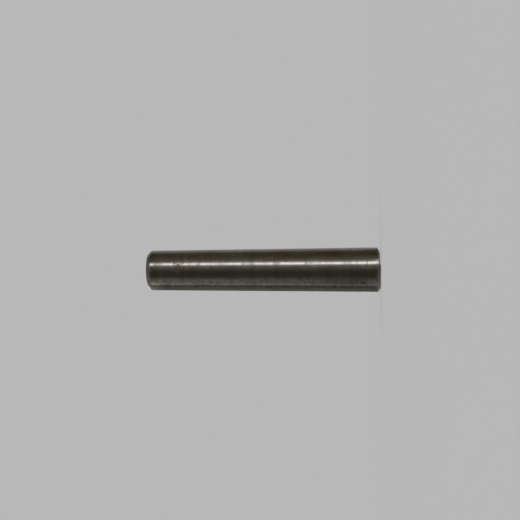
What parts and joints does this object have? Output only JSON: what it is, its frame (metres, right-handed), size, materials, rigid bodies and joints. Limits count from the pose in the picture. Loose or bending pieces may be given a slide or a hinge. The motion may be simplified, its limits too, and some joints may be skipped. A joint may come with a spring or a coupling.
{
  "type": "taper pin",
  "caption": "Solid steel taper pin, 1 in 50 on the diameter, with flat chamfered ends, for locking a hub or collar to a shaft.",
  "frame": {"origin": "centre of the large end's flat face, on which the pin stands", "axes": "+Z along the pin's axis, from the large end to the small end; X and Y across it"},
  "size_m": [0.0134, 0.0134, 0.07],
  "materials": {
    "pin_steel": "ground steel, dulled and darkened, with fine grinding lines and light rust stains"
  },
  "bodies": {
    "root": {"taper_pin": "pin_steel"}
  },
  "joints": []
}
